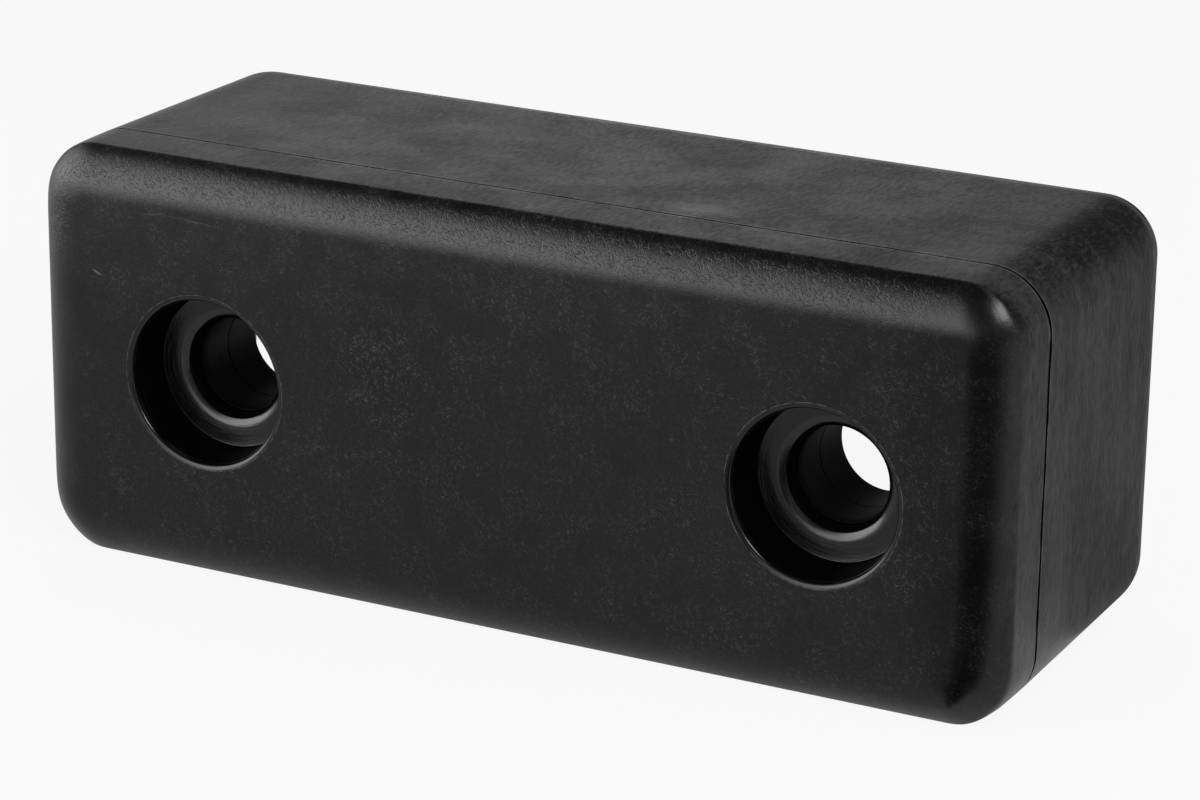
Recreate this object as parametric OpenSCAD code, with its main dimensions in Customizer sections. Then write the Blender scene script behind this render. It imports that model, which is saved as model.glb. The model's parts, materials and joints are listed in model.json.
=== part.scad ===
// Moulded rubber trailer buffer: a block with a rolled front edge, two stepped bolt pockets
// and two hollows in the back. X runs along the block, the front face looks along -Y, Z is up.
// The origin is the centre of the flat back face.

/* [Block] */
// Length over the parting line
block_length = 250; // [220:1:320]
// Height over the parting line
block_height = 102; // [90:1:130]
// Depth from the front face to the back face
block_depth = 88; // [80:1:120]
// Corner radius at the parting line, seen from the front
corner_r = 14.5; // [9:0.5:20]

/* [Front edge] */
// Width of the rolled edge on the front face, where the corners leave room for it
roll_width = 12; // [6:0.5:16]
// Depth of the rolled edge, from the front face to its crease
roll_depth = 5; // [3:0.5:5.5]

/* [Parting line] */
// Distance of the parting line behind the front face
parting_depth = 18.7; // [12:0.1:30]
// Draft in front of the parting line, in degrees
front_draft = 0.7; // [0.3:0.1:2]
// Draft behind the parting line, in degrees
back_draft = 0.5; // [0.3:0.1:1.2]
// Width of the groove at the parting line
groove_width = 1.0; // [0.4:0.1:1.6]
// Depth of the groove at the parting line
groove_depth = 0.6; // [0.2:0.1:1]

/* [Back edge] */
// Width of the eased back edge, on the back face
ease_width = 1; // [0.5:0.1:2]
// Length of the eased back edge, on the sides
ease_length = 6; // [3:0.5:8]

/* [Bolt pockets] */
// Distance between the two bolt axes
bolt_spacing = 157; // [140:1:170]
// Height of the bolt axes above the middle of the block
bolt_rise = -2; // [-6:0.5:6]
// Radius of the pocket's floor, room for a washer
floor_r = 19.3; // [16:0.1:26]
// Depth of the pocket's floor below the front face
floor_depth = 12.5; // [8:0.5:20]
// How far the pocket widens from its floor to its lip
pocket_flare = 0.9; // [0.2:0.1:1.5]
// Radius of the rounded lip at the pocket's mouth
lip_r = 1.2; // [0.8:0.1:2]
// Radius of the bolt bore
bore_r = 11.5; // [8:0.1:13.5]
// How much wider than the bore the throat in front of it is, on the radius
throat_step = 0.3; // [0.2:0.1:1.5]
// Depth of the throat, from the pocket's floor to the bore
throat_depth = 5; // [3:0.5:8]
// Width of the rounded shoulder between the floor and the throat
shoulder_width = 2.6; // [1.5:0.1:3.2]
// Depth over which the shoulder rounds into the throat
shoulder_drop = 1.4; // [0.8:0.1:2.2]

/* [Back hollows] */
// Thickness of rubber between the front face and the hollows
front_wall = 41; // [35:0.5:45]
// Thickness of each end wall at the back face
end_wall = 5.5; // [5:0.5:12]
// Thickness of the top and bottom walls at the back face
side_wall = 11; // [6:0.5:16]
// Width of the solid web between the hollows, at the back face
web_width = 80; // [60:1:90]
// Corner radius of the hollows at the back face
hollow_corner_r = 12; // [10:0.5:16]
// Draft of the hollows' walls, in degrees
hollow_draft = 5; // [2:0.5:6]
// Radius where the hollows' walls meet their floor
hollow_floor_r = 4; // [2:0.5:5]

/* [Hidden] */
$fn = 96;
arc_steps = 10;
small_arc_steps = 6;
past = 1;             // how far a cut runs past a face
floor_slope = 0.4;    // how far the pocket's floor falls towards the shoulder
throat_taper = 0.2;   // how far the throat closes over its depth
least_flat_r = 0.5;   // corner radius that the rolled edge leaves on the front face
bolt_x = bolt_spacing / 2;
mouth_r = floor_r + pocket_flare + lip_r;
throat_r = bore_r + throat_step;
crease_r = corner_r - tan(front_draft) * (parting_depth - roll_depth);
roll_run = min(roll_width, crease_r - least_flat_r);
flat_r = crease_r - roll_run;
back_r = corner_r - tan(back_draft) * (block_depth - parting_depth);
hollow_depth = block_depth - front_wall;
hollow_length = block_length / 2 - (corner_r - back_r) - end_wall - web_width / 2;
hollow_height = block_height - 2 * (corner_r - back_r) - 2 * side_wall;
hollow_x = (web_width + hollow_length) / 2;

// Points of an oval about [cx, cy], rx wide and ry deep, from angle a to angle b.
function oval(cx, cy, rx, ry, a, b, steps) =
    [for (i = [0:steps]) let (t = a + (b - a) * i / steps) [cx + rx * cos(t), cy + ry * sin(t)]];

// Points of an arc about [cx, cy] from angle a to angle b.
function arc(cx, cy, r, a, b, steps) = oval(cx, cy, r, r, a, b, steps);

// Radius of an arc that leaves a face at a tangent and falls by drop over a width run.
function roll_radius(run, drop) = (run * run + drop * drop) / (2 * drop);

// Edge of the block from its corner axis outwards: x is the radius, y the depth behind the front.
module block_edge() {
    roll = roll_radius(roll_run, roll_depth);
    roll_angle = asin(roll_run / roll);
    ease = roll_radius(ease_length, ease_width);
    ease_angle = asin(ease_length / ease);
    polygon(concat(
        [[0, block_depth], [0, 0]],
        arc(flat_r, roll, roll, -90, -90 + roll_angle, arc_steps),
        [[corner_r - tan(front_draft) * groove_width / 2, parting_depth - groove_width / 2],
         [corner_r - groove_depth, parting_depth],
         [corner_r - tan(back_draft) * groove_width / 2, parting_depth + groove_width / 2]],
        arc(back_r - ease, block_depth - ease_length, ease, 0, ease_angle, small_arc_steps)
    ));
}

// Edge of a hollow from its corner axis outwards: x is the radius, y the distance from its floor.
module hollow_edge() {
    lean = tan(hollow_draft);
    floor_edge = hollow_corner_r - lean * hollow_depth;
    centre = floor_edge + lean * hollow_floor_r - hollow_floor_r / cos(hollow_draft);
    polygon(concat(
        [[0, hollow_depth + past], [0, 0]],
        arc(centre, hollow_floor_r, hollow_floor_r, -90, -hollow_draft, small_arc_steps),
        [[hollow_corner_r + lean * past, hollow_depth + past]]
    ));
}

// Sweeps an edge round a rectangle whose corner axes are length and height apart, along Z.
module sweep_edge(length, height, depth) {
    for (turn = [0:3])
        mirror([turn % 2, 0, 0]) mirror([0, floor(turn / 2), 0])
            translate([length / 2, height / 2, 0]) rotate_extrude(angle = 90) children();
    for (side = [0:1]) {
        mirror([side, 0, 0]) translate([length / 2, height / 2, 0]) rotate([90, 0, 0])
            linear_extrude(height) children();
        mirror([0, side, 0]) translate([-length / 2, height / 2, 0]) rotate([90, 0, 90])
            linear_extrude(length) children();
    }
    translate([-length / 2, -height / 2, 0]) cube([length, height, depth]);
}

// Turns a shape drawn along Z, with its front at 0, so that it runs back from the front face.
module from_front() {
    translate([0, -block_depth, 0]) rotate([-90, 0, 0]) children();
}

module outer_form() {
    from_front() sweep_edge(block_length - 2 * corner_r, block_height - 2 * corner_r, block_depth)
        block_edge();
}

// Pocket for a bolt head, its shoulder and throat, and the bore that opens into the hollow.
module bolt_pocket() {
    throat_top_r = throat_r + throat_taper;
    shoulder_r = throat_top_r + shoulder_width;
    shoulder_depth = floor_depth + floor_slope;
    throat_end = floor_depth + throat_depth;
    from_front() rotate_extrude() polygon(concat(
        [[0, front_wall + past], [0, -past], [mouth_r, -past]],
        arc(mouth_r, lip_r, lip_r, 270, 180, small_arc_steps),
        [[floor_r, floor_depth]],
        oval(shoulder_r, shoulder_depth + shoulder_drop, shoulder_width, shoulder_drop, 270, 180, arc_steps),
        [[throat_r, throat_end], [bore_r, throat_end], [bore_r, front_wall + past]]
    ));
}

module back_hollow() {
    translate([0, front_wall, 0]) from_front()
        sweep_edge(hollow_length - 2 * hollow_corner_r, hollow_height - 2 * hollow_corner_r,
            hollow_depth + past) hollow_edge();
}

module rubber_block() {
    color([0.13, 0.13, 0.135]) difference() {
        outer_form();
        for (side = [-1, 1]) {
            translate([side * bolt_x, 0, bolt_rise]) bolt_pocket();
            translate([side * hollow_x, 0, 0]) back_hollow();
        }
    }
}

rubber_block();
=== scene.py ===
import json
import math

import bmesh
import bpy
from mathutils import Matrix, Vector, noise


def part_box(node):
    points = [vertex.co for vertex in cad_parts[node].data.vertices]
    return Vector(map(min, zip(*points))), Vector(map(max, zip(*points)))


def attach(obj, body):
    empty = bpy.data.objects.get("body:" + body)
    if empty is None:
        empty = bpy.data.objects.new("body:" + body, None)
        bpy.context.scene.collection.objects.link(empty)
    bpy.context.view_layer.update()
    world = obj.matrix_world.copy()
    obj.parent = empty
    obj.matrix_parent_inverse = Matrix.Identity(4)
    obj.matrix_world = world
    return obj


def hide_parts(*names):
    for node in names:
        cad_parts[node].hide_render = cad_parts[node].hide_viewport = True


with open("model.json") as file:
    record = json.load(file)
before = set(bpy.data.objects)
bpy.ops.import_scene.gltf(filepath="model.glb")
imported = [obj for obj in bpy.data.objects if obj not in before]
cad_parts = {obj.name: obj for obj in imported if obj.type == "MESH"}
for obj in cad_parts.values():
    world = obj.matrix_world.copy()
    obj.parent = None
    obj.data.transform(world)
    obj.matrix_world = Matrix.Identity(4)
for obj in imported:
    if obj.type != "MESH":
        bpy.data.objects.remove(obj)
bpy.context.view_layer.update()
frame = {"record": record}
blockLow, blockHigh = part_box("rubber_block")
blockMiddle = (blockLow + blockHigh) / 2
blockDepth = blockHigh.y - blockLow.y
mounts = {mount["name"]: mount for mount in frame["record"]["mounts"]}
tiny = 0.000001    # lengths below this count as none
print("frame loaded, block", [round(side, 4) for side in blockHigh - blockLow])


# Camera, placed round the middle of the block; angles in degrees, lengths in metres

viewpoint = {
    "azimuth": 27.27,        # from straight in front, towards the right end
    "elevation": 18.88,
    "roll": 0.7,
    "distance": 0.98665,
    "slideRight": 0.00297,
    "slideUp": -0.00563,
    "lens": 126.0,
    "sensor": 36.0,
}


def addCamera(view):
    turn = (Matrix.Rotation(math.radians(view["azimuth"]), 4, "Z")
            @ Matrix.Rotation(math.radians(90 - view["elevation"]), 4, "X")
            @ Matrix.Rotation(math.radians(view["roll"]), 4, "Z"))
    offset = Vector((view["slideRight"], view["slideUp"], view["distance"]))
    data = bpy.data.cameras.new("photoCamera")
    data.lens = view["lens"]
    data.sensor_width = view["sensor"]
    camera = bpy.data.objects.new("photoCamera", data)
    bpy.context.collection.objects.link(camera)
    camera.matrix_world = Matrix.Translation(blockMiddle + turn.to_3x3() @ offset) @ turn
    bpy.context.scene.camera = camera


addCamera(viewpoint)
print("camera placed")


# Profiles are drawn flat, radius along X and depth behind the front face along Y

def drawWire(bm, places):
    verts = [bm.verts.new((radius, depth, 0)) for radius, depth in places]
    for first, second in zip(verts, verts[1:]):
        bm.edges.new((first, second))
    return verts


def drawArc(bm, vert, centre, angle, steps):
    # carries a vertex round an arc and gives back the vertex that it ends on
    made = bmesh.ops.spin(bm, geom=[vert], cent=(*centre, 0), axis=(0, 0, 1), dvec=(0, 0, 0),
                          angle=angle, steps=steps, use_duplicate=False)
    return [item for item in made["geom_last"] if isinstance(item, bmesh.types.BMVert)][0]


def drawOn(bm, vert, places):
    # carries the wire on from a vertex through more places
    verts = [vert]
    for radius, depth in places:
        new = bm.verts.new((radius, depth, 0))
        bm.edges.new((verts[-1], new))
        verts.append(new)
    return verts[1:]


def roundOff(bm, vert, radius, segments):
    arms = [(edge.other_vert(vert).co - vert.co).normalized() for edge in vert.link_edges]
    turn = math.pi - arms[0].angle(arms[1])
    bmesh.ops.bevel(bm, geom=[vert], offset=radius * math.tan(turn / 2), offset_type="OFFSET",
                    affect="VERTICES", segments=segments, profile=0.5, material=-1, clamp_overlap=True)


def divideRuns(bm, longest, upTo=blockDepth):
    for edge in bm.edges[:]:
        cuts = math.ceil(edge.calc_length() / longest) - 1
        if cuts > 0 and all(vert.co.y <= upTo for vert in edge.verts):
            bmesh.ops.subdivide_edges(bm, edges=[edge], cuts=cuts)


def sweepRound(bm, halfLength, halfHeight, middle, run, cornerSteps):
    # sweeps the flat profile round four corners and along the straight sides between them
    section = bm.verts[:] + bm.edges[:]
    corner = middle + Vector((halfLength, 0, halfHeight))
    bmesh.ops.translate(bm, verts=bm.verts[:], vec=corner)
    along, up = Vector((2 * halfLength, 0, 0)), Vector((0, 0, 2 * halfHeight))
    for side in (-along, -up, along, up):
        turned = bmesh.ops.spin(bm, geom=section, cent=corner, axis=(0, -1, 0), dvec=(0, 0, 0),
                                angle=math.radians(90), steps=cornerSteps, use_duplicate=False)
        steps = max(1, round(side.length / run))
        pushed = bmesh.ops.spin(bm, geom=turned["geom_last"], cent=corner, axis=(0, -1, 0),
                                dvec=side / steps, angle=0, steps=steps, use_duplicate=False)
        section = pushed["geom_last"]
        corner = corner + side


def spinAbout(bm, centre, steps):
    bmesh.ops.translate(bm, verts=bm.verts[:], vec=centre)
    bmesh.ops.spin(bm, geom=bm.verts[:] + bm.edges[:], cent=centre, axis=(0, -1, 0), dvec=(0, 0, 0),
                   angle=math.radians(360), steps=steps, use_merge=True, use_duplicate=False)


def addTo(whole, part):
    carrier = bpy.data.meshes.new("carrier")
    part.to_mesh(carrier)
    part.free()
    whole.from_mesh(carrier)
    bpy.data.meshes.remove(carrier)


def closeFace(bm, depth, side=0):
    # fills the flat face between the open rims that lie at one depth
    level = blockLow.y + depth
    rims = [edge for edge in bm.edges if edge.is_boundary
            and all(abs(vert.co.y - level) < tiny and vert.co.x * side >= 0 for vert in edge.verts)]
    bmesh.ops.triangle_fill(bm, use_beauty=True, use_dissolve=False, edges=rims, normal=(0, -1, 0))


def depthOf(place):
    return place.y - blockLow.y


# The block's materials by their places; they are made further down
# wall is the near-black, dull rubber that paints shade on the pocket walls, throats, the groove and the
# back edge
materialPlaces = {"outside": 0, "pocket": 1, "wall": 2, "bore": 3, "shoulder": 4}

# The block's outer form; lengths in metres

blockForm = {
    "cornerRadius": 0.0145,       # at the parting line, seen from the front
    "partingDepth": 0.0187,
    "frontDraft": math.radians(0.7),
    "backDraft": math.radians(0.5),
    "rollWidth": 0.012,
    "rollDepth": 0.005,
    "rollSteps": 22,
    "creaseRound": 0.0004,
    "creaseSteps": 3,
    "softReach": 0.004,           # how far from the crease its softening on the ends reaches
    "softPasses": 26,
    "softFrom": 0.25,             # where it starts on the way round a corner, 0 above and 1 on the end
    "softSpread": 0.5,            # and over how much more of that way it grows
    "stripRun": 0.0007,
    "grooveWidth": 0.001,
    "grooveDepth": 0.0006,
    "grooveFloor": 0.75,          # width of its floor, as a share of its width
    "grooveRound": 0.000075,
    "grooveRoundSteps": 2,
    "grooveMargin": 0.0003,       # flat ring kept on both sides of it
    "grooveShadeShare": 0.99,           # share of its half width painted dark as shade, with the dull wall rubber
    "easeWidth": 0.001,
    "easeLength": 0.006,
    "easeSteps": 6,
    "backEdgeShadeWidth": 0.002,            # width of the back edge painted dark as shade with the dull wall rubber, above and below
    "backEdgeShadeCorner": 0.6,            # and how far round the corners, as a share of their radius
    "flatMargin": 0.0006,         # flat ring kept inside each rim, so that the flat faces shade flat
    "run": 0.0016,                # length of one step along the straight sides
    "cornerSteps": 20,
    "longest": 0.003,
    "sharpAngle": math.radians(28),
}

# How the groove wanders, and where the two halves of the mould stood open; lengths in metres
grooveWear = {
    "reach": 0.6,                 # how far from its middle it is worn, as a share of the full width
    "wander": 0.00018,
    "wanderLength": 0.011,
    "wanderSeed": 7,
    "flatShare": 0.60,            # its width on the top and underneath, as a share of the full width
    "endShare": 1.20,             # its width on the ends
    "openShare": 0.55,            # how much the width varies
    "openLength": 0.005,
    "openSeed": 3,
    "gap": Vector((0.125, -0.0693, 0.033)),
    "gapReach": 0.014,
    "gapShare": 0.4,
}

# A shallow dent in the rolled edge; the shares are of its reach
dentForm = {
    "place": Vector((0.0293, -0.0874, 0.0433)),
    "reach": 0.0024,
    "depth": 0.00013,
    "spreadShare": 0.5,
    "pressShare": 2.0,
    "cutShare": 1.6,              # how far the mesh is cut finer
    "cuts": 3,
}


def outerForm(form):
    bm = bmesh.new()
    groove = form["grooveWidth"] / 2
    radius, parting = form["cornerRadius"], form["partingDepth"]
    frontLean, backLean = math.tan(form["frontDraft"]), math.tan(form["backDraft"])
    crease = radius - frontLean * (parting - form["rollDepth"])
    flat = crease - form["rollWidth"]
    rollRadius = (form["rollWidth"] ** 2 + form["rollDepth"] ** 2) / (2 * form["rollDepth"])
    backRadius = radius - backLean * (blockDepth - parting)
    easeRadius = (form["easeWidth"] ** 2 + form["easeLength"] ** 2) / (2 * form["easeWidth"])
    start = drawWire(bm, [(flat - form["flatMargin"], 0), (flat, 0)])[-1]
    rollAngle = math.asin(form["rollWidth"] / rollRadius)
    creaseVert = drawArc(bm, start, (flat, rollRadius), rollAngle, form["rollSteps"])
    beside = groove + form["grooveMargin"]
    points = drawOn(bm, creaseVert, [
        (radius - frontLean * beside, parting - beside),
        (radius - frontLean * groove, parting - groove),
        (radius - form["grooveDepth"], parting - groove * form["grooveFloor"]),
        (radius - form["grooveDepth"], parting + groove * form["grooveFloor"]),
        (radius - backLean * groove, parting + groove),
        (radius - backLean * beside, parting + beside),
        (backRadius, blockDepth - form["easeLength"]),
    ])
    roundOff(bm, creaseVert, form["creaseRound"], form["creaseSteps"])
    for grooveEdge in (points[1], points[4]):
        roundOff(bm, grooveEdge, form["grooveRound"], form["grooveRoundSteps"])
    rim = drawArc(bm, points[-1], (backRadius - easeRadius, blockDepth - form["easeLength"]),
                  math.asin(form["easeLength"] / easeRadius), form["easeSteps"])
    drawOn(bm, rim, [(rim.co.x - form["flatMargin"], blockDepth)])
    divideRuns(bm, form["stripRun"], upTo=parting - groove)
    divideRuns(bm, form["longest"])
    halfLength = blockHigh.x - blockMiddle.x - radius
    halfHeight = blockHigh.z - blockMiddle.z - radius
    sweepRound(bm, halfLength, halfHeight, Vector((0, blockLow.y, 0)), form["run"], form["cornerSteps"])
    bmesh.ops.remove_doubles(bm, verts=bm.verts[:], dist=tiny)
    shadedBackHeight = halfHeight + form["backEdgeShadeCorner"] * radius
    # painted shade: the groove and the back edge above and below take the dark, dull wall rubber
    for face in bm.faces:
        middle = face.calc_center_median()
        inGroove = abs(depthOf(middle) - parting) < groove * form["grooveShadeShare"]
        inBackShade = depthOf(middle) > blockDepth - form["backEdgeShadeWidth"] and abs(middle.z) > shadedBackHeight
        face.material_index = materialPlaces["wall" if inGroove or inBackShade else "outside"]
    softenCrease(bm, form, halfLength, halfHeight)
    wearGroove(bm, form, grooveWear, halfHeight)
    pressDent(bm, dentForm)
    return bm


def softenCrease(bm, form, halfLength, halfHeight):
    # the crease is sharp above and below, fades round the corners and is soft on the ends
    def endness(place):
        out = Vector((max(abs(place.x) - halfLength, 0), max(abs(place.z) - halfHeight, 0)))
        return out.x / out.length
    near = [(vert, abs(depthOf(vert.co) - form["rollDepth"]) / form["softReach"], endness(vert.co))
            for vert in bm.verts if abs(depthOf(vert.co) - form["rollDepth"]) < form["softReach"]]
    for turn in range(form["softPasses"]):
        share = turn / form["softPasses"]
        least = form["softFrom"] + form["softSpread"] * share
        chosen = [vert for vert, away, end in near if away < 1 - share and end > least]
        bmesh.ops.smooth_vert(bm, verts=chosen, factor=0.5,
                              use_axis_x=True, use_axis_y=True, use_axis_z=True)


def wearGroove(bm, form, wear, halfHeight):
    def wave(place, length, seed):
        return noise.noise(place / length + Vector((seed, seed, seed)))
    for vert in bm.verts:
        behind = depthOf(vert.co) - form["partingDepth"]
        if abs(behind) < form["grooveWidth"] * wear["reach"]:
            place = vert.co.copy()
            place.y = 0
            lifted = min(max(abs(place.z) - halfHeight, 0) / form["cornerRadius"], 1)
            gap = (vert.co - wear["gap"]).length / wear["gapReach"]
            opening = wear["endShare"] + (wear["flatShare"] - wear["endShare"]) * lifted
            opening *= 1 + wear["openShare"] * wave(place, wear["openLength"], wear["openSeed"])
            opening += wear["gapShare"] * math.exp(-gap ** 2)
            drift = wear["wander"] * wave(place, wear["wanderLength"], wear["wanderSeed"])
            vert.co.y += behind * (opening - 1) + drift


def pressDent(bm, form):
    def away(vert):
        return (vert.co - form["place"]).length / form["reach"]
    edges = [edge for edge in bm.edges if all(away(vert) < form["cutShare"] for vert in edge.verts)]
    bmesh.ops.subdivide_edges(bm, edges=edges, cuts=form["cuts"], use_grid_fill=True)
    bm.normal_update()
    for vert in bm.verts:
        if away(vert) < form["pressShare"]:
            fall = math.exp(-(away(vert) / form["spreadShare"]) ** 2)
            vert.co -= vert.normal * form["depth"] * fall


# Bolt pocket: mouth, floor, shoulder, throat and bore, as one profile about the bolt axis

pocketForm = {
    "floorRadius": 0.0193,
    "floorDepth": 0.0125,
    "floorSlope": 0.0004,
    "flare": 0.0006,
    "lipWidth": 0.0015,           # from the crisp outer edge of the mouth to the wall
    "lipBend": 0.3,               # place of the lip's bend, as a share of its width from the wall
    "lipSlope": 0.00030,
    "lipDepth": 0.0014,
    "lipRound": 0.0008,
    "shoulderWidth": 0.0027,
    # radius of each arc, and its tilt at its start and end in degrees
    "shoulderArcs": [(0.0048, 6, 30), (0.0016, 30, 70)],
    "shoulderGloss": 0.0007,      # how far its gloss reaches into the throat
    "throatStep": 0.0003,
    "throatTaper": 0.0002,
    "throatDepth": 0.005,
    "cornerRound": 0.00035,       # between the wall and the floor
    "seamDepth": 0.029,           # fine seam where the two core pins met in the bore
    "seamWidth": 0.0005,
    "seamCut": 0.0003,
    "boreRound": 0.00012,
    "boreRoundSteps": 2,
    "roundSteps": 5,              # of the lip and of the corner
    "arcSteps": 8,
    "margin": 0.0006,             # flat ring kept round the mouth and round the bore's end
    "frontWall": 0.041,
    "longest": 0.003,
    "steps": 160,
}


def boltPocket(form, bore):
    bm = bmesh.new()
    boreRadius = bore["dims"]["r_mm"] / 1000
    throat = boreRadius + form["throatStep"]
    throatTop = throat + form["throatTaper"]
    shoulder = throatTop + form["shoulderWidth"]
    shoulderDepth = form["floorDepth"] + form["floorSlope"]
    throatEnd = form["floorDepth"] + form["throatDepth"]
    lip = form["floorRadius"] + form["flare"]
    mouth = lip + form["lipWidth"]
    seam = form["seamWidth"] / 2
    wall = drawWire(bm, [
        (mouth + form["margin"], 0),
        (mouth, 0),
        (lip + form["lipBend"] * form["lipWidth"], form["lipSlope"]),
        (lip, form["lipDepth"]),
        (form["floorRadius"], form["floorDepth"]),
        (shoulder, shoulderDepth),
    ])
    lipBend, floorEdge, arcEnd = wall[2], wall[4], wall[5]
    for arcRadius, startTilt, endTilt in form["shoulderArcs"]:
        start, end = math.radians(startTilt), math.radians(endTilt)
        centre = (arcEnd.co.x + arcRadius * math.sin(start), arcEnd.co.y + arcRadius * math.cos(start))
        arcEnd = drawArc(bm, arcEnd, centre, start - end, form["arcSteps"])
    inner = drawOn(bm, arcEnd, [
        (throat, throatEnd),
        (boreRadius, throatEnd),
        (boreRadius, form["seamDepth"] - seam),
        (boreRadius + form["seamCut"], form["seamDepth"]),
        (boreRadius, form["seamDepth"] + seam),
        (boreRadius, form["frontWall"]),
        (boreRadius + form["margin"], form["frontWall"]),
    ])
    roundOff(bm, inner[1], form["boreRound"], form["boreRoundSteps"])
    roundOff(bm, floorEdge, form["cornerRound"], form["roundSteps"])
    roundOff(bm, lipBend, form["lipRound"], form["roundSteps"])
    divideRuns(bm, form["longest"])
    x, y, z = bore["pos_m"]
    spinAbout(bm, Vector((x, blockLow.y, z)), form["steps"])
    for face in bm.faces:
        middle = face.calc_center_median()
        depth, radius = depthOf(middle), math.hypot(middle.x - x, middle.z - z)
        onFloor = radius < form["floorRadius"] and depth > form["floorDepth"]
        if depth < tiny:
            part = "outside"
        elif depth < form["lipDepth"] or onFloor and radius > shoulder:
            part = "pocket"
        elif onFloor and depth < shoulderDepth + form["shoulderGloss"]:
            part = "shoulder"
        else:
            # painted shade: walls and throats take the dark, dull wall rubber
            part = "bore" if depth > throatEnd else "wall"
        face.material_index = materialPlaces[part]
    return bm


# Hollow behind each bore, drafted and open to the back

hollowForm = {
    "frontWall": 0.041,
    "endWall": 0.0055,
    "sideWall": 0.011,
    "webWidth": 0.080,
    "cornerRadius": 0.012,
    "draft": math.radians(5),
    "floorRound": 0.004,
    "floorSteps": 6,
    "rimRound": 0.0005,
    "rimSteps": 3,
    "margin": 0.0006,
    "run": 0.004,
    "cornerSteps": 12,
    "longest": 0.006,
}


def backHollow(form, outer, side):
    bm = bmesh.new()
    depth = blockDepth - form["frontWall"]
    inset = math.tan(outer["backDraft"]) * (blockDepth - outer["partingDepth"])
    length = blockHigh.x - blockMiddle.x - inset - form["endWall"] - form["webWidth"] / 2
    height = blockHigh.z - blockLow.z - 2 * inset - 2 * form["sideWall"]
    radius = form["cornerRadius"]
    floorEdge = radius - math.tan(form["draft"]) * depth
    profile = drawWire(bm, [
        (floorEdge - form["floorRound"] - form["margin"], form["frontWall"]),
        (floorEdge, form["frontWall"]),
        (radius, blockDepth),
        (radius + form["margin"], blockDepth),
    ])
    roundOff(bm, profile[1], form["floorRound"], form["floorSteps"])
    roundOff(bm, profile[2], form["rimRound"], form["rimSteps"])
    divideRuns(bm, form["longest"])
    middle = Vector((side * (form["webWidth"] + length) / 2, blockLow.y, 0))
    sweepRound(bm, length / 2 - radius, height / 2 - radius, middle, form["run"], form["cornerSteps"])
    return bm


def makeBlock():
    bm = outerForm(blockForm)
    bores = {1: mounts["bolt_bore_right"], -1: mounts["bolt_bore_left"]}
    for side, bore in bores.items():
        addTo(bm, boltPocket(pocketForm, bore))
        addTo(bm, backHollow(hollowForm, blockForm, side))
    bmesh.ops.remove_doubles(bm, verts=bm.verts[:], dist=tiny)
    closeFace(bm, 0)
    closeFace(bm, blockDepth)
    for side in bores:
        closeFace(bm, hollowForm["frontWall"], side)
    bmesh.ops.recalc_face_normals(bm, faces=bm.faces[:])
    for face in bm.faces:
        face.smooth = True
    for edge in bm.edges:
        edge.smooth = edge.calc_face_angle(0) < blockForm["sharpAngle"]
    print("block", len(bm.faces), "faces,", sum(edge.is_boundary for edge in bm.edges), "open edges,",
          sum(not edge.is_manifold for edge in bm.edges), "not manifold,",
          round(bm.calc_volume(signed=True) * 1e9, 1), "mm3")
    mesh = bpy.data.meshes.new("rubberBlock")
    bm.to_mesh(mesh)
    bm.free()
    block = bpy.data.objects.new("rubberBlock", mesh)
    bpy.context.collection.objects.link(block)
    return block


block = makeBlock()


# Node helpers; patterns are laid out in millimetres in the block's own frame

def addNode(tree, kind, sockets, **settings):
    # makes a node, then links each socket to an output or fills it with a value
    node = tree.nodes.new(kind)
    for name, value in settings.items():
        setattr(node, name, value)
    for name, value in sockets.items():
        if isinstance(value, bpy.types.NodeSocket):
            tree.links.new(value, node.inputs[name])
        else:
            node.inputs[name].default_value = value
    return node


def blend(tree, operation, first, second=0.0, third=0.0):
    sockets = {0: first, 1: second, 2: third} if operation == "MULTIPLY_ADD" else {0: first, 1: second}
    return addNode(tree, "ShaderNodeMath", sockets, operation=operation).outputs[0]


def remap(tree, value, low, high, toLow=0.0, toHigh=1.0):
    sockets = {"Value": value, "From Min": low, "From Max": high, "To Min": toLow, "To Max": toHigh}
    return addNode(tree, "ShaderNodeMapRange", sockets).outputs[0]


def times(tree, *values):
    total = values[0]
    for value in values[1:]:
        total = blend(tree, "MULTIPLY", total, value)
    return total


def distance(tree, value, middle):
    return blend(tree, "ABSOLUTE", blend(tree, "SUBTRACT", value, middle))


def mixed(tree, share, first, second):
    sockets = {0: share, 2: first, 3: second}
    return addNode(tree, "ShaderNodeMix", sockets, data_type="FLOAT").outputs[0]


def addUp(tree, patterns, shares):
    # adds up patterns, each with the share that it has, from the level that the shares start from
    total = shares.get("start", 0.0)
    for name, share in shares.items():
        if name != "start":
            total = blend(tree, "MULTIPLY_ADD", patterns[name], share, total)
    return total


def millimetres(tree):
    place = tree.nodes.new("ShaderNodeTexCoord").outputs["Object"]
    return addNode(tree, "ShaderNodeVectorMath", {0: place, "Scale": 1000}, operation="SCALE").outputs[0]


def stretched(tree, place, sizes, turn=0.0, centre=(0, 0, 0)):
    # lays a pattern out so that one unit of it measures sizes, turned in the plane of the front face
    sockets = {"Vector": place, "Location": centre, "Rotation": (0, math.radians(turn), 0), "Scale": sizes}
    return addNode(tree, "ShaderNodeMapping", sockets, vector_type="TEXTURE").outputs[0]


def noiseAt(tree, place, size, detail, roughness=0.5):
    sockets = {"Vector": place, "Scale": 1 / size, "Detail": detail, "Roughness": roughness}
    return addNode(tree, "ShaderNodeTexNoise", sockets).outputs[0]


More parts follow.
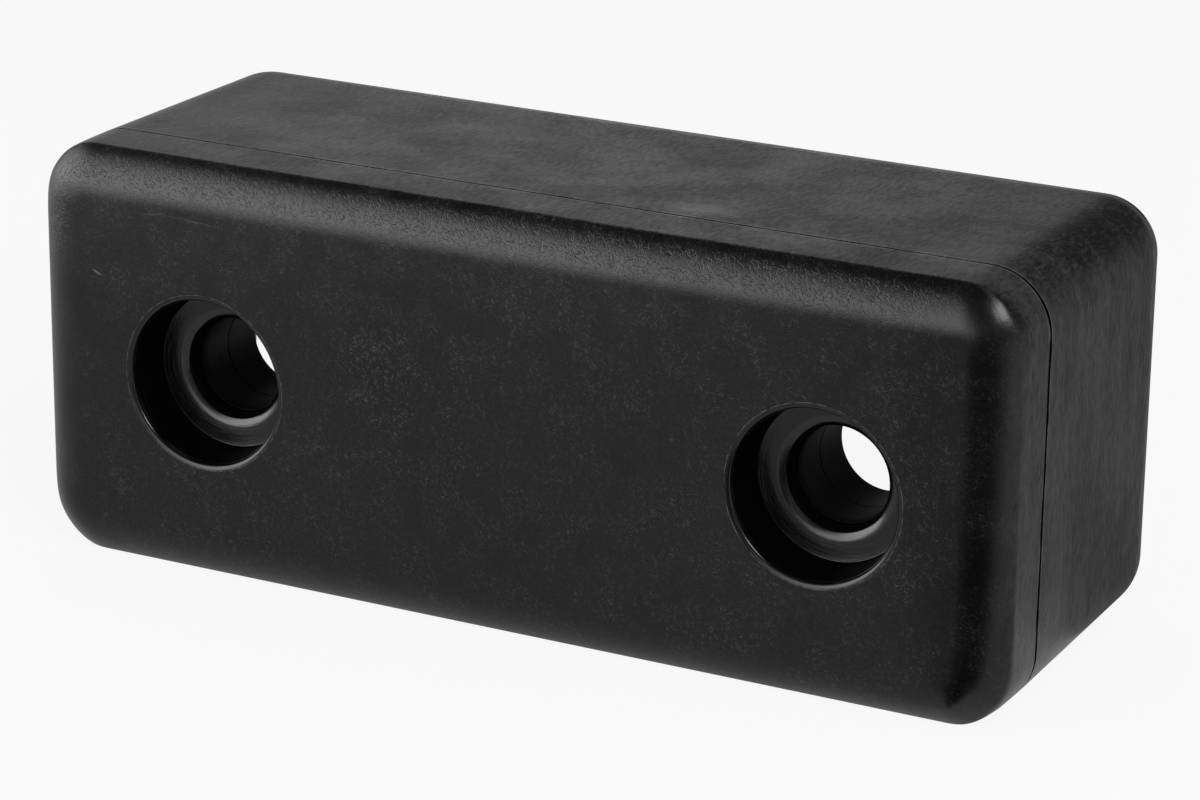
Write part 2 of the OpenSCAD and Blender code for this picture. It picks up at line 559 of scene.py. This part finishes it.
def warped(tree, place, size, reach):
    # pushes the pattern about, so that its strokes bend
    sockets = {"Vector": place, "Scale": 1 / size, "Detail": 1.0}
    push = addNode(tree, "ShaderNodeTexNoise", sockets).outputs["Color"]
    sockets = {0: push, 1: (0.5, 0.5, 0.5)}
    centred = addNode(tree, "ShaderNodeVectorMath", sockets, operation="SUBTRACT").outputs[0]
    sockets = {0: centred, 1: (reach, reach, reach), 2: place}
    return addNode(tree, "ShaderNodeVectorMath", sockets, operation="MULTIPLY_ADD").outputs[0]


def stretchedNoise(tree, place, sizes, detail, roughness):
    return noiseAt(tree, stretched(tree, place, sizes), 1.0, detail, roughness)


def hairLines(tree, place, look):
    # bent thin lines along the middle level of a stretched noise, broken up by a second noise
    laid = stretched(tree, place, look["sizes"], look["turn"])
    line = distance(tree, noiseAt(tree, laid, size=1.0, detail=1.0), 0.5)
    line = remap(tree, line, look["width"], 0.0)
    kept = remap(tree, noiseAt(tree, place, look["breakSize"], detail=1.0), *look["kept"])
    return times(tree, line, kept)


def nearTo(tree, place, look):
    # 1 at a mark's centre, fading to 0 at its outline
    laid = stretched(tree, place, look["sizes"], look["turn"], look["centre"])
    away = addNode(tree, "ShaderNodeVectorMath", {0: laid}, operation="LENGTH").outputs["Value"]
    return remap(tree, away, 1.0, look["solid"])


def specks(tree, place, size, radius, solid):
    sockets = {"Vector": place, "Scale": 1 / size}
    away = addNode(tree, "ShaderNodeTexVoronoi", sockets).outputs["Distance"]
    return remap(tree, away, radius / size, solid * radius / size)


def newMaterial(name):
    material = bpy.data.materials.new(name)
    material.use_nodes = True
    return material, material.node_tree, material.node_tree.nodes["Principled BSDF"]


def dressShader(tree, shader, finish, albedo, relief):
    # gives the shader a grey with the finish's tint, its gloss and a relief in millimetres
    sockets = {0: finish["tint"], "Scale": blend(tree, "MAXIMUM", albedo, finish["leastAlbedo"])}
    colour = addNode(tree, "ShaderNodeVectorMath", sockets, operation="SCALE").outputs[0]
    tree.links.new(colour, shader.inputs["Base Color"])
    shader.inputs["Specular IOR Level"].default_value = finish["specular"]
    bump = addNode(tree, "ShaderNodeBump", {"Height": relief, "Distance": 0.001}).outputs[0]
    tree.links.new(bump, shader.inputs["Normal"])


# Outside of the block: a smooth dark front with scuffs, and a greyer, rougher skin behind the crease.
# Lengths in millimetres; four values in a row say what goes from where to where, and between which levels.

outsideFinish = {
    "tint": (1.0, 1.0, 1.03),
    "leastAlbedo": 0.001,
    "specular": 0.36,
    "frontRoughness": 0.18,
    "skinRoughness": 0.33,
    "hazeRoughness": 0.10,
    "skinDepth": 5.0,             # depth behind the front face at which the skin starts
    "skinFade": (113, 123, 0.3, 3.2),       # reach of its start, from above and below round to the ends
    "endShare": (121.0, 124.3),             # from where to where the ends take over from the top
    "endPaintedShade": (50, 122, 1.0, 0.5),       # painted shade: the skin is darker towards the ends
    "cloud": {"size": 42.0, "detail": 4.0},
    "haze": {"size": 9.0, "detail": 3.0, "roughness": 0.6},
    "grain": {"size": 0.45, "detail": 2.0},
    "bends": {"size": 6.0, "reach": 3.0},   # how strokes are pushed about
    "patchy": (0.42, 0.62, 0.3, 1.0),       # how the haze breaks up marks
    "rising": {"sizes": (2.0, 0.8, 0.8), "turn": 42, "width": 0.034, "breakSize": 1.1,
               "kept": (0.47, 0.58)},
    "falling": {"sizes": (1.7, 0.8, 0.7), "turn": -35, "width": 0.030, "breakSize": 1.3,
                "kept": (0.51, 0.62)},
    "hairsAcross": (104, 114, 1.0, 0.45),   # fewer hairs round the ends of the front
    "worms": {"sizes": (1.4, 0.85, 0.85), "turn": 38, "width": 0.060, "breakSize": 0.9,
              "kept": (0.34, 0.52)},
    "wormsStart": (0.0, 0.9, 0.25, 1.0),    # over the rolled edge, from the front face
    "wormsEnd": (2.4, 3.8, 1.0, 0.0),       # and towards the crease
    "wormsAlong": (95, 112, 1.0, 0.12),     # fewer at the right end
    "wormsUp": (15, 35, 0.2, 1.0),          # and low down
    "dots": {"size": 2.6, "radius": 0.16, "solid": 0.3},
    "bands": {"sizes": (120, 5, 60), "detail": 4.0, "roughness": 0.6},
    "drift": {"sizes": (22, 16, 30), "detail": 3.0, "roughness": 0.55},
    "endDrift": 0.5,              # share of the drift that is left on the ends
    # fine grain, from front to back above and below, and upright on the ends
    "topGrain": {"sizes": (0.9, 3.0, 0.9), "detail": 3.0, "roughness": 0.6},
    "endGrain": {"sizes": (0.9, 0.9, 4.0), "detail": 3.0, "roughness": 0.6},
    "skinLines": {"sizes": (2.6, 1.3, 2.6), "turn": 0, "width": 0.035, "breakSize": 2.0,
                  "kept": (0.52, 0.62)},
    "grooveHighlightPlace": 0.78,           # a painted highlight along the groove's edge, as a distance from the parting line
    "grooveHighlightWidth": 0.22,
    "easeSheenPlace": 83.5,            # depth of the wavy painted highlight line where the back edge starts to ease
    "easeWave": 5.0,
    "easeWidth": 0.45,
    "easeFade": 0.5,
    "mouthHighlightRadius": 21.45,           # a ragged painted highlight along each pocket's mouth edge
    "mouthHighlightWidth": 0.17,
    "ragged": {"size": 1.8, "detail": 2.0},
    "raggedLevels": (0.40, 0.62, 0.1, 2.4),
    "roughPatch": {"centre": (-31, -88, 8), "sizes": (13, 8, 15), "turn": 0, "solid": 0.2},
    "scratch": {"centre": (-107.6, -88, 20.9), "sizes": (1.5, 4, 0.28), "turn": 25, "solid": 0.5},
    "nick": {"centre": (-78.1, -88, 22.0), "sizes": (0.22, 4, 2.2), "turn": 3, "solid": 0.6},
    "crest": {"centre": (-83, -88, 37.2), "sizes": (17, 8, 0.35), "turn": 1, "solid": 0.2},
    "palePatch": {"centre": (38, -62, 51), "sizes": (11, 5, 9), "turn": 0, "solid": 0.3},
    "hairShares": {"patchy": 1.0, "roughPatch": 1.0},
    # rim is the painted highlight on the pockets' mouth edges
    "frontShares": {"start": -0.009, "cloud": 0.005, "haze": 0.009, "grain": 0.010, "hairs": 0.050,
                    "dots": 0.030, "rim": 0.060, "scratch": 0.180, "crest": 0.060, "nick": -0.060},
    "skinShares": {"start": -0.120, "cloud": 0.050, "drift": 0.240, "haze": 0.060, "bands": 0.100,
                   "wrinkles": 0.210, "skinLines": 0.030, "hairs": 0.030, "grooveHighlight": 0.260,
                   "easeHighlightLine": 0.150, "easeSheenStrip": 0.060, "palePatch": 0.050},
    "foldShares": {"wrinkles": 0.11, "skinLines": -0.02, "haze": 0.05},
    "reliefShares": {"folds": 1.0, "cloud": 0.25, "haze": 0.05, "curls": -0.045, "grain": 0.010},
}


def addScuffs(tree, finish, patterns, bent, across):
    # short bent hairs both ways, more of them on the rough patch
    rising, falling = hairLines(tree, bent, finish["rising"]), hairLines(tree, bent, finish["falling"])
    patterns["hairs"] = times(tree, blend(tree, "MAXIMUM", rising, falling),
                              addUp(tree, patterns, finish["hairShares"]),
                              remap(tree, across, *finish["hairsAcross"]))


def addSkinMarks(tree, finish, patterns, place, bent, depth, onEnd):
    # bands and grain of the skin, the painted highlight beside the groove and the painted sheen where the
    # back edge eases
    def centred(value):
        return blend(tree, "SUBTRACT", value, 0.5)
    bands = centred(stretchedNoise(tree, place, **finish["bands"]))
    drift = centred(stretchedNoise(tree, bent, **finish["drift"]))
    patterns["bands"] = times(tree, bands, onEnd)
    patterns["drift"] = times(tree, drift, remap(tree, onEnd, 0.0, 1.0, 1.0, finish["endDrift"]))
    patterns["wrinkles"] = mixed(tree, onEnd, stretchedNoise(tree, bent, **finish["topGrain"]),
                                 stretchedNoise(tree, bent, **finish["endGrain"]))
    fromParting = distance(tree, depth, blockForm["partingDepth"] * 1000)
    # painted highlight: a light line along the groove's edge
    grooveHighlight = remap(tree, distance(tree, fromParting, finish["grooveHighlightPlace"]), finish["grooveHighlightWidth"], 0.0)
    patterns["grooveHighlight"] = times(tree, grooveHighlight, patterns["patchy"])
    # painted sheen: a light wavy line where the back edge starts to ease, and a lighter strip behind it
    wavy = blend(tree, "MULTIPLY_ADD", centred(patterns["haze"]), finish["easeWave"], depth)
    easeHighlightLine = remap(tree, distance(tree, wavy, finish["easeSheenPlace"]), finish["easeWidth"], 0.0)
    patterns["easeHighlightLine"] = times(tree, easeHighlightLine, patterns["patchy"])
    patterns["easeSheenStrip"] = remap(tree, wavy, finish["easeSheenPlace"], finish["easeSheenPlace"] + finish["easeFade"])


def outsideMaterial(finish):
    material, tree, shader = newMaterial("mouldedRubber")
    place = millimetres(tree)
    parts = addNode(tree, "ShaderNodeSeparateXYZ", {0: place}).outputs
    depth = blend(tree, "ADD", parts["Y"], blockDepth * 1000)
    across = blend(tree, "ABSOLUTE", parts["X"])
    onEnd = remap(tree, across, *finish["endShare"])
    behindCrease = blend(tree, "SUBTRACT", depth, finish["skinDepth"])
    reach = remap(tree, across, *finish["skinFade"])
    skin = remap(tree, blend(tree, "DIVIDE", behindCrease, reach), -1.0, 1.0)
    bent = warped(tree, place, **finish["bends"])
    haze = noiseAt(tree, place, **finish["haze"])
    patchy = remap(tree, haze, *finish["patchy"])
    patterns = {
        "cloud": noiseAt(tree, place, **finish["cloud"]),
        "haze": haze,
        "grain": noiseAt(tree, place, **finish["grain"]),
        "patchy": patchy,
        "dots": specks(tree, bent, **finish["dots"]),
        "skinLines": hairLines(tree, bent, finish["skinLines"]),
        "crest": times(tree, nearTo(tree, bent, finish["crest"]), patchy),
    }
    for name in ("roughPatch", "scratch", "nick", "palePatch"):
        patterns[name] = nearTo(tree, place, finish[name])
    addScuffs(tree, finish, patterns, bent, across)
    addSkinMarks(tree, finish, patterns, place, bent, depth, onEnd)
    # painted highlight: a ragged light line on each pocket's mouth edge
    toRim = distance(tree, fromBolt(tree, place), finish["mouthHighlightRadius"])
    ragged = remap(tree, noiseAt(tree, place, **finish["ragged"]), *finish["raggedLevels"])
    patterns["rim"] = times(tree, remap(tree, toRim, finish["mouthHighlightWidth"], 0.0), ragged)
    skinAlbedo = addUp(tree, patterns, finish["skinShares"])
    # painted shade: the skin's grey falls towards the ends
    skinAlbedo = times(tree, skinAlbedo, remap(tree, across, *finish["endPaintedShade"]))
    albedo = mixed(tree, skin, addUp(tree, patterns, finish["frontShares"]), skinAlbedo)
    rough = remap(tree, skin, 0.0, 1.0, finish["frontRoughness"], finish["skinRoughness"])
    rough = blend(tree, "MULTIPLY_ADD", haze, finish["hazeRoughness"], rough)
    tree.links.new(rough, shader.inputs["Roughness"])
    worms = times(tree, hairLines(tree, bent, finish["worms"]), remap(tree, depth, *finish["wormsStart"]),
                  remap(tree, depth, *finish["wormsEnd"]), remap(tree, parts["X"], *finish["wormsAlong"]),
                  remap(tree, parts["Z"], *finish["wormsUp"]))
    patterns["curls"] = times(tree, worms, blend(tree, "SUBTRACT", 1.0, skin))
    patterns["folds"] = times(tree, addUp(tree, patterns, finish["foldShares"]), skin)
    dressShader(tree, shader, finish, albedo, addUp(tree, patterns, finish["reliefShares"]))
    return material


# Pockets: the same rubber, with marks that run round the bolt axis; the walls are painted darker, as shade

pocketFinish = {
    "tint": (1.0, 1.0, 1.03),
    "leastAlbedo": 0.001,
    "specular": 0.42,
    "roughness": 0.14,
    "hazeRoughness": 0.10,
    "haze": {"size": 7.0, "detail": 3.0},
    "grain": {"size": 0.5, "detail": 2.0},
    "sweeps": {"length": 5.0, "width": 0.35},
    "lineLevels": (0.55, 0.68),
    "albedoShares": {"start": 0.0005, "haze": 0.004, "lines": 0.013},
    "reliefShares": {"haze": 0.08, "sweeps": 0.024, "grain": 0.005},
}

# The shoulder is rubbed by the bolt's washer and shines more
shoulderFinish = dict(pocketFinish, specular=0.56)


def besideBolt(tree, place):
    # the way from the nearer bolt axis, across and up, the same on both pockets
    x, y, z = mounts["bolt_bore_right"]["pos_m"]
    parts = addNode(tree, "ShaderNodeSeparateXYZ", {0: place}).outputs
    across = blend(tree, "SUBTRACT", blend(tree, "ABSOLUTE", parts["X"]), x * 1000)
    above = blend(tree, "SUBTRACT", parts["Z"], z * 1000)
    return addNode(tree, "ShaderNodeCombineXYZ", {"X": across, "Z": above}).outputs[0]


def fromBolt(tree, place):
    beside = besideBolt(tree, place)
    return addNode(tree, "ShaderNodeVectorMath", {0: beside}, operation="LENGTH").outputs["Value"]


def roundBolt(tree, place, length, width, radius=15):
    # noise drawn out round the bolt axis; its length is measured at the radius given
    beside = besideBolt(tree, place)
    facing = addNode(tree, "ShaderNodeVectorMath", {0: beside}, operation="NORMALIZE").outputs[0]
    sockets = {0: facing, "Scale": radius / length}
    around = addNode(tree, "ShaderNodeVectorMath", sockets, operation="SCALE").outputs[0]
    depth = addNode(tree, "ShaderNodeSeparateXYZ", {0: place}).outputs["Y"]
    along = addNode(tree, "ShaderNodeCombineXYZ", {"Y": blend(tree, "DIVIDE", depth, width)}).outputs[0]
    where = addNode(tree, "ShaderNodeVectorMath", {0: around, 1: along}, operation="ADD").outputs[0]
    out = blend(tree, "DIVIDE", fromBolt(tree, place), width)
    sockets = {"Vector": where, "W": out, "Scale": 1.0, "Detail": 2.0}
    return addNode(tree, "ShaderNodeTexNoise", sockets, noise_dimensions="4D").outputs[0]


def pocketMaterial(name, finish):
    material, tree, shader = newMaterial(name)
    place = millimetres(tree)
    haze = noiseAt(tree, place, **finish["haze"])
    sweeps = roundBolt(tree, place, **finish["sweeps"])
    patterns = {"haze": haze, "sweeps": sweeps, "lines": remap(tree, sweeps, *finish["lineLevels"]),
                "grain": noiseAt(tree, place, **finish["grain"])}
    rough = blend(tree, "MULTIPLY_ADD", haze, finish["hazeRoughness"], finish["roughness"])
    tree.links.new(rough, shader.inputs["Roughness"])
    dressShader(tree, shader, finish, addUp(tree, patterns, finish["albedoShares"]),
                addUp(tree, patterns, finish["reliefShares"]))
    return material


# Walls, throats, bores and the groove: dull and dark, the bores with fine rings left by the core pins.
# Walls, throats, the groove and the back edge take a near-black copy of the rubber that is painted shade

shadedWallFinish = {
    "tint": (1.0, 1.0, 1.02),
    "leastAlbedo": 0.001,
    "specular": 0.02,
    "roughness": 0.6,
    "haze": {"size": 6.0, "detail": 3.0},
    "rings": {"length": 8.0, "width": 0.6},
    "markLevels": (0.52, 0.75),
    "albedoShares": {"start": 0.00048, "haze": 0.0012, "marks": 0.002},
    "reliefShares": {"rings": 0.06, "haze": 0.1},
}

boreFinish = dict(shadedWallFinish, specular=0.10, roughness=0.55, rings={"length": 6.0, "width": 0.4},
                  albedoShares={"start": 0.0012, "haze": 0.0030, "marks": 0.006})


def dullMaterial(name, finish):
    material, tree, shader = newMaterial(name)
    place = millimetres(tree)
    rings = roundBolt(tree, place, **finish["rings"])
    patterns = {"haze": noiseAt(tree, place, **finish["haze"]), "rings": rings,
                "marks": remap(tree, rings, *finish["markLevels"])}
    shader.inputs["Roughness"].default_value = finish["roughness"]
    dressShader(tree, shader, finish, addUp(tree, patterns, finish["albedoShares"]),
                addUp(tree, patterns, finish["reliefShares"]))
    return material


materials = {
    "outside": outsideMaterial(outsideFinish),
    "pocket": pocketMaterial("pocketRubber", pocketFinish),
    "wall": dullMaterial("paintedShadeRubber", shadedWallFinish),
    "bore": dullMaterial("boreRubber", boreFinish),
    "shoulder": pocketMaterial("edgeRubber", shoulderFinish),
}
for name in materialPlaces:
    block.data.materials.append(materials[name])
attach(block, "root")
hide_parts("rubber_block")
print("rubber finished")


# Floor, surroundings and lamps; angles in degrees, lengths in metres

studio = {
    "floorSize": 24.0,
    "floorColour": (0.85, 0.85, 0.85, 1),
    "floorRoughness": 0.9,
    "floorWhite": 0.9,            # how much of the floor's look is plain white
    "ambient": 0.35,
}

# What gloss mirrors of the room: dim behind the camera, high behind the block and overhead, and with a
# soft glow at the front left
roomShade = [
    {"azimuth": 12, "elevation": 35, "full": 44, "end": 68, "inside": 0.40, "outside": 1.0},
    {"azimuth": 155, "elevation": 45, "full": 30, "end": 62, "inside": 0.12, "outside": 0.63},
    {"elevation": 90, "full": 42, "end": 72, "inside": 0.35, "outside": 1.0},
]
roomGlow = [
    {"azimuth": -51, "elevation": -8, "full": 24, "end": 57, "inside": 3.6, "outside": 0.0},
]

# And of the floor: dim in front of the block's right corner and behind the block, with the same glow
# away to the front left
rightCorner = (0.110, -0.088, -0.051)
rightEnd = (0.125, -0.030, -0.051)
frontEdge = (0.0, -0.088, 0.045)
floorShade = [
    {"from": rightCorner, "azimuth": 10, "full": 12, "end": 42, "inside": 0.02, "outside": 1.0},
    {"from": rightCorner, "azimuth": -35, "full": 40, "end": 85, "inside": 1.37, "outside": 1.81},
    {"from": rightEnd, "azimuth": 165, "full": 14, "end": 62, "inside": 0.135, "outside": 0.43},
]
floorGlow = [
    {"from": frontEdge, "azimuth": -51, "full": 24, "end": 57, "inside": 2.2, "outside": 0.0},
    {"from": frontEdge, "elevation": -90, "full": 74, "end": 87, "inside": 0.0, "outside": 1.0},
]

lamps = {
    "frontSoftbox": {"azimuth": -48, "elevation": 18, "distance": 1.2, "width": 0.9, "height": 0.7,
                     "power": 1.6},
    "cornerLamp": {"azimuth": 48, "elevation": 36, "distance": 1.2, "width": 0.4, "height": 0.4,
                   "power": 5.2},
}


def directionTo(values):
    azimuth = math.radians(values.get("azimuth", 0))
    elevation = math.radians(values.get("elevation", 0))
    return Vector((math.sin(azimuth) * math.cos(elevation), -math.cos(azimuth) * math.cos(elevation),
                   math.sin(elevation)))


def towardSide(tree, direction, values):
    # goes from the outside value to the inside value as a direction comes nearer to one side
    if "from" in values:
        sockets = {0: direction, 1: values["from"]}
        direction = addNode(tree, "ShaderNodeVectorMath", sockets, operation="SUBTRACT").outputs[0]
    unit = addNode(tree, "ShaderNodeVectorMath", {0: direction}, operation="NORMALIZE").outputs[0]
    sockets = {0: unit, 1: directionTo(values)}
    toward = addNode(tree, "ShaderNodeVectorMath", sockets, operation="DOT_PRODUCT").outputs["Value"]
    sockets = {"Value": toward, "From Min": math.cos(math.radians(values["end"])),
               "From Max": math.cos(math.radians(values["full"])),
               "To Min": values["outside"], "To Max": values["inside"]}
    return addNode(tree, "ShaderNodeMapRange", sockets, interpolation_type="SMOOTHSTEP").outputs[0]


def allSides(tree, direction, sides):
    level = 1.0
    for values in sides:
        level = blend(tree, "MULTIPLY", level, towardSide(tree, direction, values))
    return level


def mirrored(tree, direction, shade, glow):
    # white for the camera, shaded and glowing for gloss
    level = blend(tree, "ADD", allSides(tree, direction, shade), allSides(tree, direction, glow))
    return blend(tree, "MAXIMUM", level, tree.nodes.new("ShaderNodeLightPath").outputs["Is Camera Ray"])


def seenDirectly(tree):
    # 1 for what the camera, a mirror or a lens sees, 0 for scattered light
    path = tree.nodes.new("ShaderNodeLightPath").outputs
    return blend(tree, "MAXIMUM", blend(tree, "MAXIMUM", path["Is Camera Ray"], path["Is Glossy Ray"]),
                 path["Is Transmission Ray"])


def addFloor(values):
    bm = bmesh.new()
    bmesh.ops.create_grid(bm, x_segments=1, y_segments=1, size=values["floorSize"] / 2)
    bmesh.ops.translate(bm, verts=bm.verts[:], vec=(0, 0, blockLow.z))
    mesh = bpy.data.meshes.new("floor")
    bm.to_mesh(mesh)
    bm.free()
    floor = bpy.data.objects.new("floor", mesh)
    bpy.context.collection.objects.link(floor)
    material, tree, shader = newMaterial("paleFloor")
    shader.inputs["Base Color"].default_value = values["floorColour"]
    shader.inputs["Roughness"].default_value = values["floorRoughness"]
    place = tree.nodes.new("ShaderNodeTexCoord").outputs["Object"]
    white = addNode(tree, "ShaderNodeEmission", {"Strength": mirrored(tree, place, floorShade, floorGlow)})
    share = blend(tree, "MULTIPLY", seenDirectly(tree), values["floorWhite"])
    sockets = {0: share, 1: shader.outputs[0], 2: white.outputs[0]}
    both = addNode(tree, "ShaderNodeMixShader", sockets)
    tree.links.new(both.outputs[0], tree.nodes["Material Output"].inputs["Surface"])
    floor.data.materials.append(material)


def addWorld(values):
    world = bpy.data.worlds.new("paleRoom")
    world.use_nodes = True
    bpy.context.scene.world = world
    tree = world.node_tree
    background = tree.nodes["Background"]
    background.inputs["Color"].default_value = (1, 1, 1, 1)
    towards = tree.nodes.new("ShaderNodeTexCoord").outputs["Generated"]
    shade = mirrored(tree, towards, roomShade, roomGlow)
    strength = remap(tree, seenDirectly(tree), 0.0, 1.0, values["ambient"], shade)
    tree.links.new(strength, background.inputs["Strength"])


def addLamp(name, values):
    data = bpy.data.lights.new(name, "AREA")
    data.shape = "RECTANGLE"
    data.size = values["width"]
    data.size_y = values["height"]
    data.energy = values["power"]
    lamp = bpy.data.objects.new(name, data)
    bpy.context.collection.objects.link(lamp)
    out = directionTo(values)
    lamp.location = blockMiddle + out * values["distance"]
    lamp.rotation_euler = out.to_track_quat("Z", "Y").to_euler()
    lamp.visible_camera = False


addFloor(studio)
addWorld(studio)
for name, values in lamps.items():
    addLamp(name, values)
bpy.context.scene.view_settings.view_transform = "Standard"
print("studio lit")
